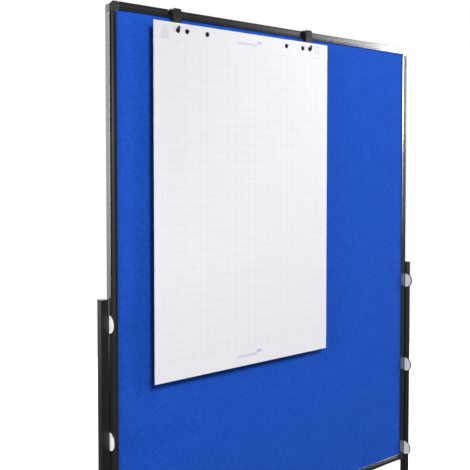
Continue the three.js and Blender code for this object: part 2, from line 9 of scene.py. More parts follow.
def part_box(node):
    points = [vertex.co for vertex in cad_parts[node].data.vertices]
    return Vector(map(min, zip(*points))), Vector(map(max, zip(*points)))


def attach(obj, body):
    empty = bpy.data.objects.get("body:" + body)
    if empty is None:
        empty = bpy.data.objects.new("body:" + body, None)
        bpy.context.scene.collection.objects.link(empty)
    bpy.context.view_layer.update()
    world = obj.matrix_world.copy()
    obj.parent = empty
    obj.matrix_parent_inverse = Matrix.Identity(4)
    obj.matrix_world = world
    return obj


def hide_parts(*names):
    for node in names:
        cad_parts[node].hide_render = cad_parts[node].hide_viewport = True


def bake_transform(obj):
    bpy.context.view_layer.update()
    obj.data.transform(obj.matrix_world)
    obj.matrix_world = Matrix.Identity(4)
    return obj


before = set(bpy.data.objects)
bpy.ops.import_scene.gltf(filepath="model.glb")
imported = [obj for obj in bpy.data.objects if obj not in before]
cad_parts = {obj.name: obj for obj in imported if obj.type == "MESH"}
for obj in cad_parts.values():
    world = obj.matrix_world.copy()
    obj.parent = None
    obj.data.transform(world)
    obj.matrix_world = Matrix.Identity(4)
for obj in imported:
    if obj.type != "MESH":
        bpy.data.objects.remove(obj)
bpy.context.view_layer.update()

MM = 0.001
SIDES = (("left", -1), ("right", 1))
ENDS = (("front", -1), ("rear", 1))


# ---------- camera ----------

CAMERA_PLACE = (-1.4749, -1.6571, 1.5132)
CAMERA_YAW = 38.0
CAMERA_DIP = 1.9
CAMERA_LENS = 54.25
CAMERA_DROP = -0.0894


def make_camera():
    data = bpy.data.cameras.new("camera")
    data.lens = CAMERA_LENS
    data.sensor_width = 36.0
    data.shift_y = CAMERA_DROP
    data.clip_end = 60.0
    camera = bpy.data.objects.new("camera", data)
    camera.location = CAMERA_PLACE
    camera.rotation_euler = (math.radians(90 - CAMERA_DIP), 0, math.radians(-CAMERA_YAW))
    bpy.context.scene.collection.objects.link(camera)
    bpy.context.scene.camera = camera


make_camera()


# ---------- node trees ----------

class Recipe:
    """The nodes of one shader tree, put down and joined a step at a time."""

    def __init__(self, tree):
        self.tree = tree

    def fill(self, node, values):
        """Gives a node's inputs plain values, or links from other nodes."""
        for key, value in values.items():
            if isinstance(value, bpy.types.NodeSocket):
                self.tree.links.new(value, node.inputs[key])
            else:
                node.inputs[key].default_value = value

    def put(self, kind, values=None, **settings):
        """Adds a node, sets its properties and fills its inputs."""
        node = self.tree.nodes.new("ShaderNode" + kind)
        for key, value in settings.items():
            setattr(node, key, value)
        self.fill(node, values or {})
        return node

    def use(self, group, **values):
        """Places a node group with its own values."""
        return self.put("Group", values, node_tree=group).outputs

    def point(self):
        return self.put("TexCoord").outputs["Object"]

    def parts(self, vector):
        return self.put("SeparateXYZ", {0: vector}).outputs

    def maths(self, operation, a, b=0.0):
        return self.put("Math", {0: a, 1: b}, operation=operation).outputs[0]

    def times(self, first, *others):
        for other in others:
            first = self.maths("MULTIPLY", first, other)
        return first

    def plus(self, first, *others):
        for other in others:
            first = self.maths("ADD", first, other)
        return first

    def most(self, first, *others):
        for other in others:
            first = self.maths("MAXIMUM", first, other)
        return first

    def mixed(self, a, share_a, b, share_b):
        return self.plus(self.times(a, share_a), self.times(b, share_b))

    def gap(self, a, b):
        """How far apart two values are."""
        return self.maths("ABSOLUTE", self.maths("SUBTRACT", a, b))

    def spread(self, value, low, high, to_low=0.0, to_high=1.0):
        """Maps a value's range low..high onto to_low..to_high, clamped."""
        values = {"Value": value, "From Min": low, "From Max": high, "To Min": to_low, "To Max": to_high}
        return self.put("MapRange", values).outputs["Result"]

    def blend(self, share, a, b):
        return self.put("Mix", {0: share, 6: a, 7: b}, data_type="RGBA").outputs[2]

    def noise(self, point, scale, detail=3.0, roughness=0.55):
        values = {"Vector": point, "Scale": scale, "Detail": detail, "Roughness": roughness}
        return self.put("TexNoise", values).outputs["Fac"]

    def bump(self, height, distance, strength):
        values = {"Height": height, "Distance": distance, "Strength": strength}
        return self.put("Bump", values).outputs["Normal"]


class Group(Recipe):
    """A shader node group. An input whose usual value is a tuple is a vector, and so is the output Normal."""

    def __init__(self, name, inputs, outputs):
        super().__init__(bpy.data.node_groups.new(name, "ShaderNodeTree"))
        for label, usual in inputs.items():
            self.socket(label, "INPUT", isinstance(usual, tuple)).default_value = usual
        for label in outputs:
            self.socket(label, "OUTPUT", label == "Normal")
        self.given = self.tree.nodes.new("NodeGroupInput").outputs
        self.out = self.tree.nodes.new("NodeGroupOutput")

    def socket(self, label, way, is_vector):
        kind = "NodeSocketVector" if is_vector else "NodeSocketFloat"
        return self.tree.interface.new_socket(name=label, in_out=way, socket_type=kind)

    def give(self, **values):
        self.fill(self.out, values)
        return self.tree


def make_drawn_grain():
    """Fine lines left by the die along a bar, with slow changes of tone."""
    group = Group("drawn grain", {"Stretch": (1, 1, 1), "Depth": 0.00002}, ("Tone", "Gloss", "Normal"))
    point = group.point()
    lines = group.put("Mapping", {"Vector": point, "Scale": group.given["Stretch"]}).outputs["Vector"]
    fine = group.noise(lines, 900.0, 4.0, 0.6)
    broad = group.noise(lines, 120.0, 2.0)
    slow = group.noise(point, 3.0, 2.0)
    specks = group.noise(point, 1400.0, 1.0)
    return group.give(
        Tone=group.mixed(fine, 0.5, broad, 0.5), Gloss=group.mixed(slow, 0.6, specks, 0.4),
        Normal=group.bump(fine, group.given["Depth"], 0.35))


def make_moulded_skin():
    """The fine spark-eroded texture of a moulded plastic, with soft blotches of gloss."""
    group = Group("moulded skin", {"Grain": 1500.0, "Depth": 0.00004}, ("Tone", "Gloss", "Normal"))
    point = group.point()
    grain = group.noise(point, group.given["Grain"], 3.0, 0.6)
    return group.give(
        Tone=group.noise(point, 60.0), Gloss=group.noise(point, 220.0),
        Normal=group.bump(grain, group.given["Depth"], 0.5))


def make_edge_wear():
    """A mask of rubbed edges, broken up by noise."""
    group = Group("edge wear", {"Amount": 0.5}, ("Mask",))
    edge = group.spread(group.put("NewGeometry").outputs["Pointiness"], 0.53, 0.62)
    patches = group.spread(group.noise(group.point(), 140.0, 4.0, 0.7), 0.42, 0.62)
    return group.give(Mask=group.times(edge, patches, group.given["Amount"]))


def make_settled_dust():
    """A thin film of dust, thicker on faces that look up."""
    group = Group("settled dust", {"Amount": 0.3}, ("Mask",))
    up = group.parts(group.put("NewGeometry").outputs["Normal"])["Z"]
    patches = group.noise(group.point(), 35.0, 5.0, 0.65)
    facing = group.spread(up, 0.2, 1.0, 0.06, 1.0)
    return group.give(Mask=group.times(patches, facing, group.given["Amount"]))


def make_felt_fibres():
    """Matted fibres lying every way: three crossed layers of stretched noise."""
    group = Group("felt fibres", {"Depth": 0.0003}, ("Tone", "Mottle", "Normal"))
    point = group.point()
    layers = []
    for turn in (0.3, 1.35, 2.45):
        laid = group.put("Mapping", {"Vector": point, "Rotation": (0, turn, 0), "Scale": (1.0, 1.0, 0.16)})
        layers.append(group.noise(laid.outputs["Vector"], 1500.0, 3.0, 0.6))
    matted = group.most(*layers)
    clouds = group.noise(point, 190.0, 4.0, 0.7)
    wide = group.noise(point, 14.0)
    return group.give(
        Tone=matted, Mottle=group.mixed(clouds, 0.85, wide, 0.15),
        Normal=group.bump(matted, group.given["Depth"], 0.7))


def make_printed_box():
    """A mask that is 1 inside a rectangle of the sheet's plane and 0 outside."""
    group = Group(
        "printed box", {"Across": 0.0, "Up": 0.0, "Centre": (0, 0, 0), "Half": (1, 1, 1)}, ("Mask",))
    centre, half = group.parts(group.given["Centre"]), group.parts(group.given["Half"])
    inside = [group.maths("LESS_THAN", group.gap(group.given[label], centre[axis]), half[axis])
              for label, axis in (("Across", "X"), ("Up", "Z"))]
    return group.give(Mask=group.times(*inside))


DRAWN_GRAIN = make_drawn_grain()
MOULDED_SKIN = make_moulded_skin()
EDGE_WEAR = make_edge_wear()
SETTLED_DUST = make_settled_dust()
FELT_FIBRES = make_felt_fibres()
PRINTED_BOX = make_printed_box()


# ---------- materials ----------

DUST_COLOUR = (0.42, 0.41, 0.39, 1.0)


class Finish(Recipe):
    """A material round one Principled shader."""

    def __init__(self, name):
        self.material = bpy.data.materials.new(name)
        self.material.use_nodes = True
        super().__init__(self.material.node_tree)
        self.tree.nodes.clear()
        self.shader = self.put("BsdfPrincipled")
        self.output = self.put("OutputMaterial", {"Surface": self.shader.outputs["BSDF"]})

    def aged(self, tone, colours, wear, dust):
        """Colours are dark, pale and rubbed. Gives the colour with its wear and dust, and the dust's mask."""
        dark, pale, rubbed = colours
        dusty = self.use(SETTLED_DUST, Amount=dust)["Mask"]
        base = self.blend(tone, dark, pale)
        base = self.blend(self.use(EDGE_WEAR, Amount=wear)["Mask"], base, rubbed)
        return self.blend(dusty, base, DUST_COLOUR), dusty

    def done(self, base, roughness, normal, more=None):
        self.fill(self.shader, {"Base Color": base, "Roughness": roughness, "Normal": normal, **(more or {})})
        return self.material


def shades(colour, *factors):
    """One colour at several strengths."""
    return [tuple(channel * factor for channel in colour) + (1.0,) for factor in factors]


def around(roughness):
    return roughness * 0.85, roughness * 1.15


def bar_metal(name, roughness, stretch):
    """Satin anodised aluminium, its grain drawn out along the axis with the small stretch value."""
    metal = Finish(name)
    grain = metal.use(DRAWN_GRAIN, Stretch=stretch, Depth=0.000003)
    base, dusty = metal.aged(grain["Tone"], shades(FRAME_GREY, 0.93, 1.06, 1.35), 0.05, 0.18)
    rough = metal.spread(grain["Gloss"], 0.35, 0.65, roughness * 0.86, roughness * 1.14)
    rough = metal.plus(rough, metal.times(dusty, 0.5))
    return metal.done(base, rough, grain["Normal"], {"Metallic": metal.maths("SUBTRACT", 1.0, dusty)})


def skinned(name, colours, gloss, grain, depth, wear, dust, haze, more=None):
    """A moulded or sprayed skin: gloss is its range of roughness, and haze is what dust adds to it."""
    coat = Finish(name)
    skin = coat.use(MOULDED_SKIN, Grain=grain, Depth=depth)
    base, dusty = coat.aged(skin["Tone"], colours, wear, dust)
    rough = coat.plus(coat.spread(skin["Gloss"], 0.3, 0.7, *gloss), coat.times(dusty, haze))
    return coat.done(base, rough, skin["Normal"], more)


def plastic(name, colour, roughness, grain=1500.0, depth=0.00003, wear=0.35, dust=0.25, level=0.5):
    return skinned(name, shades(colour, 0.88, 1.12, 1.7), around(roughness), grain, depth, wear, dust, 0.4,
                   {"Specular IOR Level": level})


def corner_lacquer():
    """Silver-grey lacquer on a moulded part, close in tone to the bars beside it."""
    return skinned("corner lacquer", shades((0.20, 0.202, 0.207), 0.92, 1.08, 1.3), around(0.22),
                   1100.0, 0.00002, 0.06, 0.06, 0.4, {"Metallic": 0.88})


def powder_coat():
    colours = (0.026, 0.027, 0.029, 1), (0.036, 0.037, 0.039, 1), (0.16, 0.16, 0.165, 1)
    return skinned("powder coat", colours, (0.36, 0.52), 420.0, 0.00006, 0.12, 0.4, 0.0)


def satin_paint():
    """Black satin paint over a drawn tube: faint lengthwise tones and an orange-peel skin."""
    paint = Finish("black satin paint")
    grain = paint.use(DRAWN_GRAIN, Stretch=(1, 1, 0.02))
    skin = paint.use(MOULDED_SKIN, Grain=500.0, Depth=0.00002)
    colours = (0.006, 0.006, 0.0065, 1), (0.011, 0.011, 0.0115, 1), (0.13, 0.13, 0.135, 1)
    base = paint.aged(grain["Tone"], colours, 0.03, 0.04)[0]
    rough = paint.spread(skin["Gloss"], 0.3, 0.7, 0.30, 0.40)
    return paint.done(base, rough, skin["Normal"], {"Specular IOR Level": 0.6})


def turned_steel():
    steel = Finish("turned steel")
    grain = steel.use(DRAWN_GRAIN, Stretch=(1.0, 0.12, 0.12), Depth=0.00001)
    base = steel.blend(grain["Tone"], (0.50, 0.51, 0.53, 1), (0.66, 0.67, 0.68, 1))
    rough = steel.spread(grain["Gloss"], 0.3, 0.7, 0.22, 0.34)
    return steel.done(base, rough, grain["Normal"], {"Metallic": 1.0})


def felt_cloth():
    felt = Finish("blue felt")
    fibres = felt.use(FELT_FIBRES, Depth=0.0005)
    low, high = (0.0075, 0.066, 0.455, 1), (0.0150, 0.104, 0.620, 1)
    hair_colour, pit_shade_colour = (0.028, 0.15, 0.74, 1), (0.004, 0.036, 0.30, 1)
    base = felt.blend(felt.spread(fibres["Mottle"], 0.34, 0.66), low, high)
    hairs = felt.spread(fibres["Tone"], 0.62, 0.82)
    base = felt.blend(felt.times(hairs, 0.45), base, hair_colour)
    # Painted shade: darker blue where the fibre bump is lowest, in the felt's pits.
    pit_shade = felt.spread(fibres["Tone"], 0.50, 0.36)
    base = felt.blend(felt.times(pit_shade, 0.55), base, pit_shade_colour)
    rough = felt.spread(fibres["Tone"], 0.3, 0.8, 0.98, 0.88)
    return felt.done(base, rough, fibres["Normal"], {
        "Specular IOR Level": 0.12, "Sheen Weight": 0.12, "Sheen Roughness": 0.5,
        "Sheen Tint": (0.25, 0.45, 1.0, 1)})


def card_with_hole_shade():
    # Near-black backing card; it also stands as painted shade behind the pad's holes.
    card = Finish("black card and hole shade")
    point = card.point()
    flecks = card.noise(point, 900.0, 4.0, 0.7)
    tone = card.mixed(flecks, 0.6, card.noise(point, 40.0), 0.4)
    base = card.blend(card.spread(tone, 0.35, 0.65), (0.003, 0.003, 0.0035, 1), (0.007, 0.007, 0.008, 1))
    return card.done(base, 0.9, card.bump(flecks, 0.00006, 0.5))


def fibreboard():
    board = Finish("soft fibreboard")
    chips = board.noise(board.point(), 320.0, 5.0, 0.75)
    base = board.blend(board.spread(chips, 0.3, 0.7), (0.22, 0.15, 0.08, 1), (0.42, 0.31, 0.19, 1))
    return board.done(base, 0.92, board.bump(chips, 0.0002, 0.6))


PAPER_WHITE = (0.872, 0.866, 0.912, 1)
PAPER_WARM = (0.902, 0.899, 0.936, 1)
RULE_BLUE = (0.50, 0.53, 0.68, 1)
PRINT_VIOLET = (0.52, 0.49, 0.76, 1)
PRINT_GREY = (0.56, 0.57, 0.60, 1)


def paper_base(paper, point):
    fibres = paper.noise(point, 1300.0, 4.0, 0.6)
    tone = paper.mixed(fibres, 0.45, paper.noise(point, 26.0), 0.55)
    return fibres, paper.blend(paper.spread(tone, 0.35, 0.65), PAPER_WHITE, PAPER_WARM)


def finish_paper(paper, base, fibres):
    rough = paper.spread(fibres, 0.3, 0.7, 0.86, 0.96)
    return paper.done(base, rough, paper.bump(fibres, 0.00003, 0.4), {"Specular IOR Level": 0.3})


def plain_paper():
    paper = Finish("plain paper")
    fibres, base = paper_base(paper, paper.point())
    return finish_paper(paper, base, fibres)


RULE_STEP = 25 * MM
RULE_HALF = 0.35 * MM
MARGIN, HEAD_MARGIN, TAIL_MARGIN = 24 * MM, 49 * MM, 48 * MM
STRIPE_STEP = 3.4 * MM
RING_IN, RING_DOWN, RING_RADIUS = 46 * MM, 17 * MM, 8 * MM
PANEL_IN = 34 * MM


def ruled_paper(left, right, bottom, top):
    """The printed side of the pad: a pale grid with margins, plain generic marks, and painted shade towards its
    top left.
    """
    middle = (left + right) / 2
    paper = Finish("ruled paper")
    point = paper.point()
    fibres, base = paper_base(paper, point)
    split = paper.parts(point)
    across, up = split["X"], split["Z"]

    def box(centre_x, centre_z, half_x, half_z):
        return paper.use(PRINTED_BOX, Across=across, Up=up, Centre=(centre_x, 0, centre_z),
                         Half=(half_x, 1, half_z))["Mask"]

    rules = []
    for place, start in ((across, left), (up, top)):
        steps = paper.maths("DIVIDE", paper.maths("SUBTRACT", place, start), RULE_STEP)
        off = paper.gap(paper.maths("FRACT", paper.plus(steps, 0.5)), 0.5)
        rules.append(paper.maths("LESS_THAN", off, RULE_HALF / RULE_STEP))
    field = box(middle, (top - HEAD_MARGIN + bottom + TAIL_MARGIN) / 2,
                (right - left) / 2 - MARGIN, (top - HEAD_MARGIN - bottom - TAIL_MARGIN) / 2)
    uneven = paper.spread(paper.noise(point, 30.0, 2.0), 0.3, 0.7, 0.30, 0.55)
    base = paper.blend(paper.times(paper.most(*rules), field, uneven), base, RULE_BLUE)

    # Painted shade: the sheet darkens by up to a fifth towards its top left, standing for uneven light falling
    # on it.
    painted_shade = paper.times(paper.spread(across, right, left + 60 * MM),
                         paper.spread(up, bottom + (top - bottom) * 0.35, top), 0.2)
    base = paper.blend(painted_shade, base, (0.0, 0.0, 0.0, 1))

    stripes = paper.maths("LESS_THAN", paper.maths("FRACT", paper.maths("DIVIDE", across, STRIPE_STEP)), 0.55)
    stripes = paper.spread(stripes, 0.0, 1.0, 0.35, 1.0)
    violet = []
    for height in (top - 31 * MM, bottom + 29 * MM):
        violet.append(paper.times(box(middle - 5 * MM, height, 37 * MM, 3.8 * MM), stripes))
        violet.append(box(middle + 41 * MM, height + 8 * MM, 9 * MM, 4.6 * MM))
    ring_centre = (right - RING_IN, 0, top - RING_DOWN)
    away = paper.put("VectorMath", {0: point, 1: ring_centre}, operation="SUBTRACT").outputs[0]
    flat = paper.put("VectorMath", {0: away, 1: (1, 0, 1)}, operation="MULTIPLY").outputs[0]
    radius = paper.put("VectorMath", {0: flat}, operation="LENGTH").outputs["Value"]
    violet.append(paper.maths("LESS_THAN", paper.gap(radius, RING_RADIUS), 1.2 * MM))
    base = paper.blend(paper.times(paper.most(*violet), 0.75), base, PRINT_VIOLET)

    panel = box(left + PANEL_IN, top - 27 * MM, 14 * MM, 19 * MM)
    base = paper.blend(paper.times(panel, 0.28), base, PRINT_GREY)
    grey = [box(left + PANEL_IN, top - 14 * MM, 3 * MM, 2.4 * MM)]
    for drop, half in ((20, 6), (27, 10), (33, 11), (39, 13), (43.5, 13)):
        grey.append(box(left + PANEL_IN, top - drop * MM, half * MM, 1.5 * MM))
    for drop, half in ((30, 13), (44, 15)):
        grey.append(box(right - RING_IN, top - drop * MM, half * MM, 1.0 * MM))
    base = paper.blend(paper.times(paper.most(*grey), 0.7), base, PRINT_GREY)
    return finish_paper(paper, base, fibres)


FRAME_GREY = (0.285, 0.288, 0.294)
METAL_X = bar_metal("anodised bar along X", 0.15, (0.012, 1, 1))
METAL_Z = bar_metal("anodised bar along Z", 0.16, (1, 1, 0.012))
CORNER_PLASTIC = corner_lacquer()
BLACK_PLASTIC = plastic("black plastic", (0.0045, 0.0045, 0.005), 0.42, dust=0.08, level=0.35)
CASTOR_PLASTIC = plastic("castor plastic", (0.014, 0.014, 0.015), 0.4, dust=0.4)
DISC_WHITE = plastic("disc white", (0.88, 0.88, 0.89), 0.4, wear=0.0, dust=0.05)
RIM_RUBBER = plastic("disc rim", (0.005, 0.005, 0.0055), 0.5, dust=0.05, grain=900.0, depth=0.00006)
TYRE_RUBBER = plastic("tyre rubber", (0.030, 0.031, 0.033), 0.75, grain=700.0, depth=0.0001, dust=0.5)
HUB_GREY = plastic("hub grey", (0.20, 0.205, 0.21), 0.45)
STEEL = turned_steel()
FOOT_PAINT = powder_coat()
POST_PAINT = satin_paint()
FELT = felt_cloth()
CARD_AND_HOLE_SHADE = card_with_hole_shade()
CORE = fibreboard()
PAPER = plain_paper()


# ---------- modelling helpers ----------

def clear_selection():
    if bpy.context.object and bpy.context.object.mode != "OBJECT":
        bpy.ops.object.mode_set(mode="OBJECT")
    bpy.ops.object.select_all(action="DESELECT")


def only(piece):
    clear_selection()
    piece.select_set(True)
    bpy.context.view_layer.objects.active = piece


def settle(piece):
    """Puts the piece's place, turn and scale into its mesh."""
    only(piece)
    bpy.ops.object.transform_apply(location=True, rotation=True, scale=True)
    return piece


def named(name):
    """Names the primitive that was just added, and puts its place into its mesh."""
    piece = bpy.context.object
    piece.name = piece.data.name = name
    return settle(piece)


def cube(name, low, high):
    clear_selection()
    low, high = Vector(low), Vector(high)
    bpy.ops.mesh.primitive_cube_add(size=1, location=(low + high) / 2, scale=high - low)
    return named(name)


AXIS_TURNS = {"X": (0, math.pi / 2, 0), "Y": (math.pi / 2, 0, 0), "Z": (0, 0, 0)}


def cylinder(name, axis, radius, length, centre, sides=32):
    clear_selection()
    bpy.ops.mesh.primitive_cylinder_add(
        vertices=sides, radius=radius, depth=length, location=centre, rotation=AXIS_TURNS[axis])
    return named(name)


CUT_THRESHOLD = 0.00001


class Edit:
    """Edit mode on one piece: picks faces or edges by a test, then runs an operator on them."""

    def __init__(self, piece):
        self.piece = piece

    def __enter__(self):
        only(self.piece)
        bpy.ops.object.mode_set(mode="EDIT")
        return self

    def __exit__(self, *problem):
        bpy.ops.object.mode_set(mode="OBJECT")

    def mesh(self):
        return bmesh.from_edit_mesh(self.piece.data)

    def faces(self, test):
        bpy.ops.mesh.select_mode(type="FACE")
        bpy.ops.mesh.select_all(action="DESELECT")
        mesh = self.mesh()
        mesh.normal_update()
        for face in mesh.faces:
            if test(face.calc_center_median(), face.normal):
                face.select_set(True)
        bmesh.update_edit_mesh(self.piece.data)

    def facing(self, way, test=lambda c: True):
        """Faces that look along an axis: "+X" or "-X" one way, "X" both ways."""
        axis = "XYZ".index(way[-1])
        sign = {"+": 1, "-": -1}.get(way[0])
        self.faces(lambda c, n: (n[axis] * sign if sign else abs(n[axis])) > 0.9 and test(c))

    def edges(self, test):
        bpy.ops.mesh.select_mode(type="EDGE")
        bpy.ops.mesh.select_all(action="DESELECT")
        for edge in self.mesh().edges:
            if test(edge.verts[0].co, edge.verts[1].co):
                edge.select_set(True)
        bmesh.update_edit_mesh(self.piece.data)

    def edges_along(self, axis, test=lambda a, b: True):
        """Edges that run along an axis, of those the test picks."""
        others = [number for number in range(3) if "XYZ"[number] != axis]
        self.edges(lambda a, b: all(near(a[n], b[n]) for n in others) and test(a, b))

    def rims(self, middle, radius):
        """The round edges of a disc whose axis is X."""
        self.edges(lambda a, b: near(a.x, b.x) and (a - middle).yz.length > radius * 0.98
                   and (b - middle).yz.length > radius * 0.98)

    def cut(self, place, normal, clear_outer=False):
        bpy.ops.mesh.select_mode(type="FACE")
        bpy.ops.mesh.select_all(action="SELECT")
        bpy.ops.mesh.bisect(plane_co=place, plane_no=normal, use_fill=clear_outer, clear_outer=clear_outer,
                            threshold=CUT_THRESHOLD)
        if clear_outer:
            bpy.ops.mesh.select_all(action="SELECT")
            bpy.ops.mesh.remove_doubles(threshold=CUT_THRESHOLD / 2)
            bpy.ops.mesh.normals_make_consistent(inside=False)

    def pull(self, vector):
        bpy.ops.mesh.extrude_region_move(TRANSFORM_OT_translate={"value": vector})

    def fatten(self, amount):
        bpy.ops.mesh.extrude_region_shrink_fatten(TRANSFORM_OT_shrink_fatten={"value": amount})

    def inset(self, thickness, depth=0.0):
        bpy.ops.mesh.inset(thickness=thickness, depth=depth)

    def bevel(self, width, segments=3):
        bpy.ops.mesh.bevel(offset=width, segments=segments, profile=0.5)


def near(a, b, room=0.00002):
    return abs(a - b) < room


def apply_modifier(piece, kind, **settings):
    only(piece)
    modifier = piece.modifiers.new(kind.lower(), kind)
    for key, value in settings.items():
        setattr(modifier, key, value)
    bpy.ops.object.modifier_apply(modifier=modifier.name)


def soften(piece, width, segments=2, angle=30):
    """A small bevel on every sharp edge, then smooth shading by angle."""
    apply_modifier(piece, "BEVEL", width=width, segments=segments, limit_method="ANGLE",
                   angle_limit=math.radians(angle), harden_normals=False)
    smooth(piece)


def smooth(piece, angle=35):
    """Smooth shading with sharp edges kept, and flat faces kept flat beside their bevels."""
    only(piece)
    bpy.ops.object.shade_smooth_by_angle(angle=math.radians(angle))
    apply_modifier(piece, "WEIGHTED_NORMAL", keep_sharp=True, weight=80)


def discard(*pieces):
    for piece in pieces:
        bpy.data.objects.remove(piece, do_unlink=True)


def weld_on(piece, tool, operation="UNION"):
    """Joins a tool's solid to the piece, and removes the tool."""
    apply_modifier(piece, "BOOLEAN", operation=operation, object=tool, solver="EXACT")
    discard(tool)


def carve(piece, tool):
    """Cuts a tool's solid out of the piece, and removes the tool."""
    weld_on(piece, tool, "DIFFERENCE")


def duplicate(piece, name, matrix):
    """A copy with a mesh of its own, moved by a matrix."""
    copy = piece.copy()
    copy.data = piece.data.copy()
    copy.name = copy.data.name = name
    bpy.context.scene.collection.objects.link(copy)
    copy.matrix_world = matrix
    return settle(copy)


def coat(piece, material):
    piece.data.materials.clear()
    piece.data.materials.append(material)


def place_piece(piece, material, body, slot, *nodes):
    """Gives a piece its finish and body, and hides the CAD nodes it stands for. The slot is not used."""
    coat(piece, material)
    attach(piece, body)
    if nodes:
        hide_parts(*nodes)
    return piece


def place_copy(master, name, matrix, material, body, slot, *nodes):
    return place_piece(duplicate(master, name, matrix), material, body, slot, *nodes)


def paint_node(node, material):
    """A CAD node that is shown as it is gets its finish."""
    coat(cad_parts[node], material)


# ---------- frame bars and corner caps ----------

FACE_GROOVE_START = 14.2 * MM
FACE_GROOVE_END = 16.8 * MM
FACE_GROOVE_DEPTH = 1.6 * MM
FACE_FALL = 0.72 * MM
OUTER_LAND = 1.3 * MM
FACE_START = 4.3 * MM
OUTER_GROOVE_DEPTH = 1.8 * MM
SLOT_DEPTH = 12 * MM
LIP = 2.9 * MM

rail_low, rail_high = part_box("top_rail")
FRAME_FACE = rail_high.z - rail_low.z
FRAME_DEPTH = rail_high.y - rail_low.y
BOARD_TOP = rail_high.z
bottom_low, bottom_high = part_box("bottom_rail")
BOARD_BOTTOM = bottom_low.z
stile_low, stile_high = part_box("left_stile")
BOARD_LEFT = stile_low.x


def frame_bar(name, length):
    """A bar along X with its outer side up: faces that fall away inwards in a soft S,
    a groove and a bead at the inner edge, and a panel slot below."""
    half, deep, tall = length / 2, FRAME_DEPTH / 2, FRAME_FACE / 2
    slot_half = deep - LIP
    bar = cube(name, (-half, -deep, -tall), (half, deep, tall))
    groove_top, groove_foot = tall - FACE_GROOVE_START, tall - FACE_GROOVE_END
    steps = 14
    wall = 0.08 * MM
    levels = [tall - reach for reach in (OUTER_LAND, OUTER_LAND + wall, FACE_START - wall, FACE_START)]
    levels += [tall - FACE_START - (FACE_GROOVE_START - FACE_START) * n / steps for n in range(1, steps + 1)]
    levels += [groove_top - 0.1 * MM, groove_foot + wall, groove_foot]
    levels += [groove_foot + (-tall - groove_foot) * n / 4 for n in range(1, 4)]
    with Edit(bar) as edit:
        for height in levels:
            edit.cut((0, 0, height), (0, 0, 1))
        for side in (-slot_half, slot_half):
            edit.cut((0, side, 0), (0, 1, 0))
        for height in levels:
            drop = face_drop(tall - height)
            for side in (-1, 1):
                edit.edges_along("X", lambda a, b: near(a.z, height) and near(a.y, side * deep))
                bpy.ops.transform.translate(value=(0, -side * drop, 0))
        edit.facing("-Z", lambda c: abs(c.y) < slot_half and near(c.z, -tall))
        edit.pull((0, 0, SLOT_DEPTH))
        edit.edges_along("X", lambda a, b: near(a.z, tall) and near(abs(a.y), deep))
        edit.bevel(0.9 * MM, 5)
        edit.edges_along("X", lambda a, b: near(a.z, -tall) and abs(a.x - b.x) > half)
        edit.bevel(0.6 * MM, 3)
    smooth(bar, 28)
    return bar


def face_drop(reach):
    """How far the bar's face lies below its highest line, at a reach from the outer edge."""
    start, end = FACE_GROOVE_START, FACE_GROOVE_END
    if reach < OUTER_LAND + 0.04 * MM:
        return 0.1 * MM
    if reach < FACE_START - 0.04 * MM:
        return OUTER_GROOVE_DEPTH
    if reach <= start + 0.01 * MM:
        share = (reach - FACE_START) / (start - FACE_START)
        return FACE_FALL * (1 - math.cos(math.pi * share)) / 2
    if reach < end - 0.04 * MM:
        return FACE_GROOVE_DEPTH
    middle = (end + FRAME_FACE) / 2
    return 0.25 * MM + 0.45 * MM * ((reach - middle) / (FRAME_FACE - middle)) ** 2


def make_frame_bars():
    rail_middle = (rail_low + rail_high) / 2
    stile_middle = (stile_low + stile_high) / 2
    long_rail = frame_bar("rail", rail_high.x - rail_low.x)
    long_stile = frame_bar("stile", stile_high.z - stile_low.z)
    quarter = math.pi / 2
    plans = (
        ("top_rail_bar", long_rail, "top_rail", rail_middle, 0, METAL_X),
        ("bottom_rail_bar", long_rail, "bottom_rail", (bottom_low + bottom_high) / 2, 2 * quarter, METAL_X),
        ("left_stile_bar", long_stile, "left_stile", stile_middle, -quarter, METAL_Z),
        ("right_stile_bar", long_stile, "right_stile", Vector((-stile_middle.x, 0, stile_middle.z)), quarter,
         METAL_Z),
    )
    for name, master, node, middle, turn, material in plans:
        matrix = Matrix.Translation(middle) @ Matrix.Rotation(turn, 4, "Y")
        place_copy(master, name, matrix, material, "stand", "anodised_frame", node)
    discard(long_rail, long_stile)


CAP_RADIUS = 15 * MM
CAP_ARM = 6 * MM


def corner_cap():
    """The upper left cap, with the board's corner at the origin: an L with a round outer corner."""
    low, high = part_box("corner_cap_top_left")
    deep, face = (high.y - low.y) / 2, FRAME_FACE
    cap = cube("corner_cap", (0, -deep, -face), (face, deep, 0))
    with Edit(cap) as edit:
        edit.facing("+X")
        edit.pull((CAP_ARM, 0, 0))
        edit.facing("-Z", lambda c: c.x < face)
        edit.pull((0, 0, -CAP_ARM))
        edit.edges_along("Y", lambda a, b: near(a.x, 0) and near(a.z, 0))
        edit.bevel(CAP_RADIUS, 14)
        edit.edges_along("Y", lambda a, b: near(a.x, face) and near(a.z, -face))
        edit.bevel(2.5 * MM, 5)
    reach = 60 * MM
    inside = face - SLOT_DEPTH
    slot = cube("slot", (inside, -deep + LIP + 0.3 * MM, -reach), (reach, deep - LIP - 0.3 * MM, -inside))
    carve(cap, slot)
    soften(cap, 0.9 * MM, 3)
    return cap


def make_corner_caps():
    master = corner_cap()
    quarter = math.pi / 2
    plans = (("top_left", -1, BOARD_TOP), ("top_right", 1, BOARD_TOP),
             ("bottom_right", 1, BOARD_BOTTOM), ("bottom_left", -1, BOARD_BOTTOM))
    for turns, (corner, side, height) in enumerate(plans):
        matrix = Matrix.Translation((-side * BOARD_LEFT, 0, height)) @ Matrix.Rotation(turns * quarter, 4, "Y")
        place_copy(master, "cap_" + corner, matrix, CORNER_PLASTIC, "stand", "corner_plastic",
                   "corner_cap_" + corner)
    discard(master)


# ---------- panel ----------

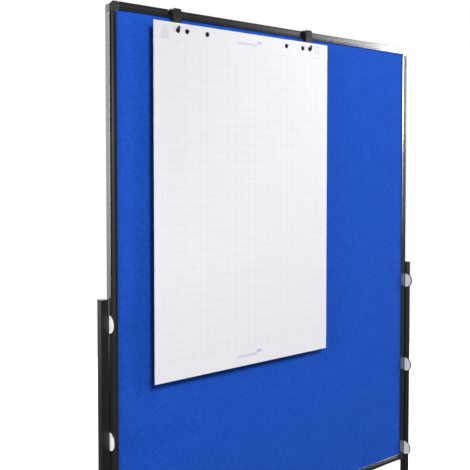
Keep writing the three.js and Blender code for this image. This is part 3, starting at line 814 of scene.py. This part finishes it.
def make_felt(name, node):
    """One felt face, glued flat: a thin sheet with a barely uneven surface."""
    low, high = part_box(node)
    clear_selection()
    middle = (low + high) / 2
    bpy.ops.mesh.primitive_grid_add(
        x_subdivisions=96, y_subdivisions=120, size=1, location=middle, rotation=(math.pi / 2, 0, 0))
    piece = bpy.context.object
    piece.scale = (high.x - low.x, high.z - low.z, 1)
    piece.name = piece.data.name = name
    settle(piece)
    outward = math.copysign(1, middle.y)
    texture = bpy.data.textures.new(name + "_unevenness", "CLOUDS")
    texture.noise_scale = 0.09
    apply_modifier(piece, "DISPLACE", texture=texture, strength=0.35 * MM, direction="Y", mid_level=0.5,
                   texture_coords="LOCAL")
    apply_modifier(piece, "SOLIDIFY", thickness=0.6 * MM, offset=0.0)
    with Edit(piece):
        bpy.ops.mesh.select_all(action="SELECT")
        bpy.ops.mesh.normals_make_consistent(inside=False)
        bpy.ops.transform.translate(value=(0, outward * 0.1 * MM, 0))
    smooth(piece, 60)
    place_piece(piece, FELT, "stand", "felt", node)
    return piece


# ---------- uprights ----------

def make_post(hand):
    node = hand + "_post"
    low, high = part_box(node)
    wall = 2 * MM
    post = cube(hand + "_upright", low, high)
    with Edit(post) as edit:
        edit.edges_along("Z")
        edit.bevel(1.1 * MM, 4)
        for up, depth in ((1, 30 * MM), (-1, 90 * MM)):
            edit.faces(lambda c, n: n.z * up > 0.9)
            edit.inset(wall)
            edit.pull((0, 0, -up * depth))
    smooth(post)
    place_piece(post, POST_PAINT, "stand", "foot_paint", node)


def make_post_cap(hand):
    node = hand + "_post_cap"
    low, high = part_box(node)
    plate, grip = 2.5 * MM, 2.4 * MM
    cap = cube(hand + "_upright_cap", (low.x, low.y, high.z - plate), high)
    with Edit(cap) as edit:
        edit.facing("-Z")
        edit.inset(grip)
        edit.pull((0, 0, low.z - high.z + plate))
    soften(cap, 0.5 * MM, 3)
    place_piece(cap, BLACK_PLASTIC, "stand", "end_plastic", node)


# ---------- clamp discs ----------

RIM_BAND = 1.6 * MM
RIM_TEETH = 72


def disc_parts():
    """A pale disc and its dark ribbed rim, centred on the origin with the axis along X."""
    low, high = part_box("left_clamp_disc_1")
    half, radius = (high.x - low.x) / 2, (high.z - low.z) / 2
    disc = cylinder("disc", "X", radius - RIM_BAND, 2 * half, (0, 0, 0), 64)
    with Edit(disc) as edit:
        edit.facing("X")
        edit.inset(2.2 * MM)
        edit.inset(0.6 * MM, -0.5 * MM)
        edit.inset(radius * 0.42)
        edit.inset(0.6 * MM, 0.4 * MM)
    soften(disc, 0.15 * MM, 2)
    rim = cylinder("rim", "X", radius - 0.5 * MM, 2 * half - 0.3 * MM, (0, 0, 0), RIM_TEETH * 2)
    with Edit(rim) as edit:
        step = math.pi / RIM_TEETH
        edit.faces(lambda c, n: abs(n.x) < 0.1 and int(math.atan2(c.z, c.y) / step + 4 * RIM_TEETH) % 2 == 0)
        bpy.ops.mesh.extrude_faces_move(TRANSFORM_OT_shrink_fatten={"value": 0.45 * MM})
    hole = cylinder("hole", "X", radius - RIM_BAND + 0.02 * MM, 6 * half, (0, 0, 0), 64)
    carve(rim, hole)
    smooth(rim, 25)
    return disc, rim


def make_clamp_discs():
    disc, rim = disc_parts()
    for hand, side in SIDES:
        for number in (1, 2, 3):
            node = f"{hand}_clamp_disc_{number}"
            low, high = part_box(node)
            matrix = Matrix.Translation((low + high) / 2)
            body = f"{hand}_disc_{number}"
            place_copy(disc, f"{hand}_disc_face_{number}", matrix, DISC_WHITE, body, "disc_plastic", node)
            place_copy(rim, f"{hand}_disc_rim_{number}", matrix, RIM_RUBBER, body, "end_plastic")
            paint_node(f"{hand}_clamp_stud_{number}", STEEL)
    discard(disc, rim)


# ---------- feet ----------

def make_foot(hand):
    node = hand + "_foot"
    low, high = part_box(node)
    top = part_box(hand + "_rear_foot_cap")[1].z
    wall = 2 * MM
    foot = cube(hand + "_foot_bar", low, (high.x, high.y, top))
    with Edit(foot) as edit:
        edit.edges_along("Y")
        edit.bevel(3 * MM, 4)
        edit.facing("Y")
        edit.inset(wall)
        edit.fatten(-90 * MM)
    middle_x = (low.x + high.x) / 2
    collar = 15 * MM
    weld = cube("weld", (middle_x - collar, -collar, top - 1 * MM),
                (middle_x + collar, collar, top + 0.25 * MM))
    weld_on(foot, weld)
    soften(foot, 0.3 * MM, 2, 50)
    place_piece(foot, FOOT_PAINT, "stand", "foot_paint", node)
    paint_node(hand + "_lock_screw", STEEL)


def make_foot_cap(hand, end_name, end):
    node = f"{hand}_{end_name}_foot_cap"
    low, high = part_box(node)
    outer, inner = (high.y, low.y) if end > 0 else (low.y, high.y)
    plate = 3 * MM
    edge_y = outer - end * plate
    cap = cube(f"{hand}_{end_name}_end_cap",
               (low.x, min(outer, edge_y), low.z), (high.x, max(outer, edge_y), high.z))
    with Edit(cap) as edit:
        edit.edges_along("Y")
        edit.bevel(3 * MM, 4)
        edit.faces(lambda c, n: n.y * end < -0.9)
        edit.inset(2.4 * MM)
        edit.pull((0, inner - edge_y, 0))
    soften(cap, 0.8 * MM, 3, 40)
    place_piece(cap, BLACK_PLASTIC, "stand", "end_plastic", node)


# ---------- castors ----------

CLEAR = 10 * MM      # how far a cutting tool stands out of what it cuts


def castor_parts():
    """Housing, tyre, hub and pedal of the left rear castor, where it stands."""
    fork_low, fork_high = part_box("left_rear_castor_fork")
    wheel_low, wheel_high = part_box("left_rear_castor_wheel")
    pedal_low, pedal_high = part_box("left_rear_brake_pedal")
    middle = (wheel_low + wheel_high) / 2
    radius = (wheel_high.z - wheel_low.z) / 2
    swivel = Vector((middle.x, fork_low.y + 16 * MM, 0))
    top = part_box("left_rear_foot_cap")[0].z - 0.3 * MM
    cheek = 3 * MM
    room = (fork_high.x - fork_low.x) / 2 - cheek

    skirt = middle.z - 8 * MM

    housing = cube("housing", (fork_low.x, fork_low.y, skirt), (fork_high.x, fork_high.y, top))
    with Edit(housing) as edit:
        edit.cut((0, fork_low.y, top - 8 * MM), (0, -1.0, -0.62), clear_outer=True)
        edit.cut((0, fork_high.y, top - 12 * MM), (0, 1.0, -0.42), clear_outer=True)
        edit.cut((0, fork_high.y - 3 * MM, top), (0, 0.8, 1.0), clear_outer=True)
        edit.edges_along("X", lambda a, b: near(a.z, skirt))
        edit.bevel(3 * MM, 6)
    ceiling = top - 7 * MM
    well = cube("well", (middle.x - room, fork_low.y - CLEAR, 0),
                (middle.x + room, fork_high.y + CLEAR, ceiling))
    with Edit(well) as edit:
        edit.edges_along("Y", lambda a, b: near(a.z, ceiling))
        edit.bevel(3 * MM, 4)
    carve(housing, well)
    slot = cube("slot", (middle.x - room, swivel.y + 14 * MM, top - 9 * MM),
                (middle.x + room, fork_high.y + CLEAR, top + CLEAR))
    carve(housing, slot)
    stem = cylinder("stem", "Z", 5.5 * MM, 24 * MM, (swivel.x, swivel.y, top + 10 * MM), 32)
    weld_on(housing, stem)
    plate = cylinder("plate", "Z", 15 * MM, 1.6 * MM, (swivel.x, swivel.y, top - 0.6 * MM), 40)
    weld_on(housing, plate)
    soften(housing, 0.6 * MM, 3)

    tyre = cylinder("tyre", "X", radius, 18 * MM, middle, 64)
    with Edit(tyre) as edit:
        edit.rims(middle, radius)
        edit.bevel(3 * MM, 5)
    ring_hole = cylinder("ring_hole", "X", radius * 0.70, 40 * MM, middle, 64)
    carve(tyre, ring_hole)
    groove = cylinder("groove", "X", radius + 1 * MM, 1.2 * MM, middle, 64)
    core = cylinder("core", "X", radius - 0.8 * MM, 3 * MM, middle, 64)
    carve(groove, core)
    carve(tyre, groove)
    smooth(tyre, 35)

    hub = cylinder("hub", "X", radius * 0.70 - 0.02 * MM, 17 * MM, middle, 48)
    with Edit(hub) as edit:
        edit.facing("X")
        edit.inset(1.6 * MM)
        edit.inset(0.4 * MM, -2.2 * MM)
        edit.inset(4.6 * MM)
        edit.inset(0.5 * MM, 4.2 * MM)
    for spoke in range(5):
        turn = Matrix.Translation(middle) @ Matrix.Rotation(spoke * math.tau / 5, 4, "X")
        for side in (-1, 1):
            rib = cube("rib", (side * 7 * MM - 1.2 * MM, -1.1 * MM, 5 * MM),
                       (side * 7 * MM + 1.2 * MM, 1.1 * MM, radius * 0.66))
            rib.matrix_world = turn
            settle(rib)
            weld_on(hub, rib)
    soften(hub, 0.25 * MM, 2)

    pivot = Vector((middle.x, swivel.y + 26 * MM, pedal_high.z - 4.2 * MM))
    wide = (pedal_high.x - pedal_low.x) / 2 - 3.5 * MM
    pedal = cube("pedal", (pivot.x - wide, pivot.y - 4 * MM, pivot.z - 3.2 * MM),
                 (pivot.x + wide, pivot.y + 4 * MM, pivot.z + 3.8 * MM))
    with Edit(pedal) as edit:
        for drop in (1.4, 2.2, 3.0):
            edit.faces(lambda c, n: n.y > 0.5)
            edit.pull((0, 8.6 * MM, -drop * MM))
        edit.faces(lambda c, n: n.y > 0.5)
        bpy.ops.transform.resize(value=(1, 1, 0.62))
    for number in range(3):
        y = pivot.y + (13 + 6 * number) * MM
        z = pivot.z + (1.6 - 1.75 * number) * MM
        rib = cube("rib", (pivot.x - wide + 2.4 * MM, y - 1.1 * MM, z - 3 * MM),
                   (pivot.x + wide - 2.4 * MM, y + 1.1 * MM, z + 1.1 * MM))
        weld_on(pedal, rib)
    pin = cylinder("pin", "X", 2.4 * MM, pedal_high.x - pedal_low.x - 0.6 * MM, pivot, 24)
    weld_on(pedal, pin)
    soften(pedal, 0.5 * MM, 2)
    return swivel, (
        ("housing", housing, CASTOR_PLASTIC, "castor", "castor_plastic", "castor_fork"),
        ("tyre", tyre, TYRE_RUBBER, "wheel", "wheel_rubber", "castor_wheel"),
        ("hub", hub, HUB_GREY, "wheel", "castor_plastic", None),
        ("pedal", pedal, CASTOR_PLASTIC, "brake", "castor_plastic", "brake_pedal"),
    )


def axle_cap(name, low, high):
    """The riveted axle with its domed ends."""
    middle, radius = (low + high) / 2, (high.z - low.z) / 2
    axle = cylinder(name, "X", radius, high.x - low.x, middle, 40)
    with Edit(axle) as edit:
        edit.rims(middle, radius)
        edit.bevel(1.1 * MM, 4)
        edit.facing("X")
        edit.inset(2 * MM)
        edit.inset(0.5 * MM, -0.4 * MM)
    neck = cylinder("neck", "X", radius + 2 * MM, high.x - low.x - 3 * MM, middle, 40)
    bore = cylinder("bore", "X", 4 * MM, high.x - low.x, middle, 32)
    carve(neck, bore)
    carve(axle, neck)
    smooth(axle)
    return axle


def make_castors():
    swivel, parts = castor_parts()
    for hand, side in SIDES:
        for end_name, end in ENDS:
            label = f"{hand}_{end_name}"
            place = Vector((-side * swivel.x, end * swivel.y, 0))
            turn = 0 if end > 0 else math.pi
            matrix = Matrix.Translation(place) @ Matrix.Rotation(turn, 4, "Z") @ Matrix.Translation(-swivel)
            for kind, master, material, body, slot, node in parts:
                nodes = [f"{label}_{node}"] if node else []
                place_copy(master, f"{label}_{kind}", matrix, material, f"{label}_{body}", slot, *nodes)
            axle_node = label + "_castor_axle"
            axle = axle_cap(label + "_axle", *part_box(axle_node))
            place_piece(axle, STEEL, label + "_wheel", "steel", axle_node)
    discard(*(part[1] for part in parts))


# ---------- hooks ----------

HOOK_CORNER = 6 * MM
WIRE_DROPS = (2.4 * MM, 8.6 * MM)
WIRE_RADIUS = 0.75 * MM


def hook_body():
    """The left hook where it hangs: a thick front over the rail, a thin strap, a rear leg and a front leg."""
    low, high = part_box("left_hook")
    rail_front, rail_back, rail_top = rail_low.y, rail_high.y, rail_high.z
    room = 0.8 * MM
    front_foot = rail_low.z - 2 * MM
    under = rail_top + room
    rear_foot = high.z - 33.4 * MM
    leg_back = low.y + 5 * MM
    hook = cube("hook", (low.x, low.y, front_foot), (high.x, rail_front - room, high.z))
    with Edit(hook) as edit:
        edit.cut((0, 0, under), (0, 0, 1))
        edit.facing("+Y", lambda c: c.z > under)
        edit.pull((0, rail_back + room - (rail_front - room), 0))
        edit.pull((0, high.y - rail_back - room, 0))
        edit.facing("-Z", lambda c: c.y > rail_back + room * 0.5)
        edit.pull((0, 0, rear_foot - under))
        edit.cut((0, leg_back, 0), (0, 1, 0))
        edit.facing("-Z", lambda c: c.y < leg_back and near(c.z, front_foot))
        edit.pull((0, 0, low.z - front_foot))
        edit.edges_along("Y", lambda a, b: near(a.z, high.z) and (near(a.x, low.x) or near(a.x, high.x))
                         and min(a.y, b.y) < rail_front)
        edit.bevel(1.2 * MM, 4)
    corner = HOOK_CORNER
    for side, x in ((-1, low.x), (1, high.x)):
        wedge = cube("wedge", (-corner, low.y - CLEAR, -corner), (corner, rail_front - room - 0.3 * MM, corner))
        with Edit(wedge) as edit:
            edit.cut((-side * corner * 0.25, 0, -corner * 0.35), (-side, 0, -0.75), clear_outer=True)
        wedge.location = (x, 0, high.z)
        carve(hook, settle(wedge))
    for drop in WIRE_DROPS:
        height = rail_low.z - drop
        ring = cube("ring", (low.x - 1 * MM, low.y - 1 * MM, height - 0.9 * MM),
                    (high.x + 1 * MM, low.y + 0.8 * MM, height + 0.9 * MM))
        carve(hook, ring)
    soften(hook, 0.7 * MM, 3)
    return hook


def hook_wire():
    """The two bright turns of the spring wire that show in grooves across the hook's front."""
    low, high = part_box("left_hook")
    turns = []
    for drop in WIRE_DROPS:
        place = ((low.x + high.x) / 2, low.y + WIRE_RADIUS, rail_low.z - drop)
        wire = cylinder("wire", "X", WIRE_RADIUS, high.x - low.x - 2.4 * MM, place, 16)
        with Edit(wire) as edit:
            edit.facing("X")
            edit.inset(0.3 * MM, -0.2 * MM)
        turns.append(wire)
    weld_on(turns[0], turns[1])
    smooth(turns[0], 50)
    return turns[0]


def hook_pin():
    """A bar through the leg that turns up in front of the pad and ends in a rounded knob."""
    low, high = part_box("left_hook_pin")
    middle_x = (low.x + high.x) / 2
    knob_radius = 3.7 * MM
    tip = Vector((middle_x, low.y + knob_radius, high.z - knob_radius))
    height = tip.z - 8 * MM
    pin = cylinder("pin", "Y", 3 * MM, high.y - tip.y, (middle_x, (high.y + tip.y) / 2, height), 32)
    rise = cylinder("rise", "Z", 3 * MM, tip.z - height, (middle_x, tip.y, (tip.z + height) / 2), 32)
    weld_on(pin, rise)
    for place, radius in (((middle_x, tip.y, height), 3 * MM), (tip, knob_radius)):
        clear_selection()
        bpy.ops.mesh.primitive_uv_sphere_add(segments=32, ring_count=18, radius=radius, location=place)
        weld_on(pin, settle(bpy.context.object))
    head = cylinder("head", "Y", 5 * MM, 2 * MM, (middle_x, high.y - 1 * MM, height), 32)
    weld_on(pin, head)
    smooth(pin, 50)
    return pin


def make_hooks():
    hook, pin, wire = hook_body(), hook_pin(), hook_wire()
    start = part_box("left_hook")[0].x
    for hand, side in SIDES:
        shift = Matrix.Translation((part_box(hand + "_hook")[0].x - start, 0, 0))
        body = hand + "_hanger"
        for master, label, material, slot, nodes in (
                (hook, "_rail_hook", BLACK_PLASTIC, "hook_plastic", ["_hook"]),
                (pin, "_pad_pin", BLACK_PLASTIC, "hook_plastic", ["_hook_pin"]),
                (wire, "_hook_wire", STEEL, "steel", [])):
            place_copy(master, hand + label, shift, material, body, slot, *(hand + node for node in nodes))
    discard(hook, pin, wire)


# ---------- pad ----------

PAD_HOLES = (149.5 * MM, 218 * MM, 248 * MM)
HOLE_RADIUS = 7.2 * MM
CARD_HOLE_RADIUS = 4.5 * MM
HOLE_DROP = 20 * MM
SHEETS = 8


def punch(piece, middle_x, height, low_y, high_y, radius, offsets):
    for offset in offsets:
        for side in (-1, 1):
            punch_tool = cylinder("punch", "Y", radius, high_y - low_y + 4 * MM,
                                  (middle_x + side * offset, (low_y + high_y) / 2, height), 40)
            carve(piece, punch_tool)


def make_pad():
    card_low, card_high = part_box("pad_backing")
    block_low, block_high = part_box("pad_block")
    sheet_low, sheet_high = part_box("top_sheet")
    left, right, bottom, top = card_low.x, card_high.x, card_low.z, card_high.z
    middle_x = (left + right) / 2
    hole_z = top - HOLE_DROP

    backing = cube("pad_card", card_low, card_high)
    # The card has only the outer hole, and a smaller one, so its black shows through the sheets' other holes as
    # painted shade.
    punch(backing, middle_x, hole_z, card_low.y, card_high.y, CARD_HOLE_RADIUS, PAD_HOLES[2:])
    soften(backing, 0.25 * MM, 2)
    place_piece(backing, CARD_AND_HOLE_SHADE, "pad", "card", "pad_backing")

    draw = random.Random(7)
    pitch = (block_high.y - block_low.y) / SHEETS
    leaf = cube("leaf", (left, -0.4 * pitch, bottom), (right, 0.4 * pitch, top))
    punch(leaf, middle_x, hole_z, -pitch, pitch, HOLE_RADIUS, PAD_HOLES)
    smooth(leaf, 20)
    for number in range(SHEETS):
        shift = Vector((draw.uniform(-0.25, 0.25) * MM, block_high.y - (number + 0.5) * pitch,
                        draw.uniform(0, 0.35) * MM))
        replaced = ["pad_block", "pad_head"] if number == 0 else []
        place_copy(leaf, f"pad_leaf_{number + 1}", Matrix.Translation(shift), PAPER, "pad", "paper", *replaced)
    discard(leaf)

    front = cube("ruled_sheet", (left, sheet_low.y + 0.05 * MM, bottom), (right, sheet_high.y - 0.05 * MM, top))
    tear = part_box("pad_head")[0].z
    with Edit(front) as edit:
        for number in range(1, 26):
            edit.cut((left + (right - left) * number / 26, 0, 0), (1, 0, 0))
        for number in range(1, 38):
            edit.cut((0, 0, bottom + (tear - 50 * MM - bottom) * number / 38), (0, 0, 1))
        for number in range(0, 16):
            edit.cut((0, 0, tear - 50 * MM + 4 * MM * number), (0, 0, 1))
    punch(front, middle_x, hole_z, sheet_low.y, sheet_high.y, HOLE_RADIUS, PAD_HOLES)
    smooth(front, 40)
    coat(front, ruled_paper(left, right, bottom, top))
    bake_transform(front)
    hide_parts("top_sheet")


# ---------- studio ----------

WHITE = (1, 1, 1, 1)


def make_floor():
    """A pale floor: shown white with soft contact shadows, and dim where metal reflects it."""
    clear_selection()
    bpy.ops.mesh.primitive_plane_add(size=7, location=(0, 0, 0))
    floor = bpy.context.object
    floor.name = "floor"
    pale = Finish("studio floor")
    pale.fill(pale.shader, {"Base Color": (0.80, 0.80, 0.80, 1), "Roughness": 1.0, "Specular IOR Level": 0.0})
    glow = pale.put("Emission", {"Color": WHITE, "Strength": 0.62})
    shown = pale.put("AddShader", {0: pale.shader.outputs["BSDF"], 1: glow.outputs[0]})
    dim = pale.put("BsdfDiffuse", {"Color": (0.05, 0.05, 0.05, 1)})
    seen = pale.put("LightPath").outputs["Is Camera Ray"]
    surface = pale.put("MixShader", {0: seen, 1: dim.outputs[0], 2: shown.outputs[0]})
    pale.fill(pale.output, {"Surface": surface.outputs[0]})
    floor.data.materials.append(pale.material)


def area_light(name, place, target, size, level):
    """A soft box whose light gives a white face at the target, square on to it, the given level."""
    data = bpy.data.lights.new(name, "AREA")
    data.shape = "RECTANGLE"
    data.size, data.size_y = size
    data.energy = level * math.pi ** 2 * (Vector(target) - Vector(place)).length_squared
    lamp = bpy.data.objects.new(name, data)
    lamp.location = place
    lamp.rotation_euler = (Vector(target) - Vector(place)).to_track_quat("-Z", "Y").to_euler()
    bpy.context.scene.collection.objects.link(lamp)


BACKDROP_LEVEL = 1.08
FRONT_LEVEL = 0.11
WALL_LEVEL = 2.9
WALL_POWER = 1.4


def make_world():
    """White to the eye; to the board, a pale backdrop behind and a soft wall of light to the front right."""
    world = bpy.data.worlds.new("studio")
    bpy.context.scene.world = world
    world.use_nodes = True
    sky = Recipe(world.node_tree)
    sky.tree.nodes.clear()
    split = sky.parts(sky.put("TexCoord").outputs["Generated"])
    depth, up = split["Y"], split["Z"]
    turn = sky.maths("ARCTAN2", split["X"], sky.times(depth, -1.0))

    def turned(low, high, to_low=0.0, to_high=1.0):
        return sky.spread(turn, math.radians(low), math.radians(high), to_low, to_high)

    backdrop = sky.times(sky.spread(depth, -0.1, 0.5), sky.spread(up, -0.40, 0.0, 0.22, 1.0), BACKDROP_LEVEL)
    rising = sky.maths("POWER", turned(38.5, 55), WALL_POWER)
    falling = turned(62, 78, 1.0, 0.0)
    upper = sky.times(sky.spread(up, 0.10, 0.24, 1.0, 0.2), sky.spread(up, 0.30, 0.42, 1.0, 0.0))
    wall = sky.times(rising, falling, sky.spread(up, -0.10, 0.05), upper, WALL_LEVEL)
    room = sky.times(turned(15, 26, 0.3, 1.0), sky.spread(up, 0.06, 0.20, 1.0, 0.5), FRONT_LEVEL)
    soft = sky.put("Background", {"Color": WHITE, "Strength": sky.plus(backdrop, wall, room)})
    white = sky.put("Background", {"Color": WHITE, "Strength": 1.0})
    seen = sky.put("LightPath").outputs["Is Camera Ray"]
    mixed = sky.put("MixShader", {0: seen, 1: soft.outputs[0], 2: white.outputs[0]})
    sky.put("OutputWorld", {"Surface": mixed.outputs[0]})


def make_studio():
    make_floor()
    make_world()
    scene = bpy.context.scene
    scene.view_settings.view_transform = "Standard"
    scene.view_settings.look = "None"
    aim = (-0.1, 0, 1.5)
    area_light("front", (-0.4, -4.3, 4.9), aim, (1.8, 1.6), 0.90)
    area_light("right", (4.6, -2.4, 2.6), aim, (1.4, 1.6), 0.36)
    area_light("left", (-4.0, -0.5, 1.8), (-0.6, 0, 1.3), (1.7, 2.0), 1.0)
    area_light("behind", (0.6, 3.0, 3.2), (0, 0, 1.0), (2.4, 1.6), 0.6)


make_frame_bars()
make_corner_caps()
make_felt("front_felt", "felt_front")
make_felt("rear_felt", "felt_rear")
paint_node("core_board", CORE)
for hand, side in SIDES:
    make_post(hand)
    make_post_cap(hand)
    make_foot(hand)
    for end_name, end in ENDS:
        make_foot_cap(hand, end_name, end)
make_clamp_discs()
make_castors()
make_hooks()
make_pad()
make_studio()
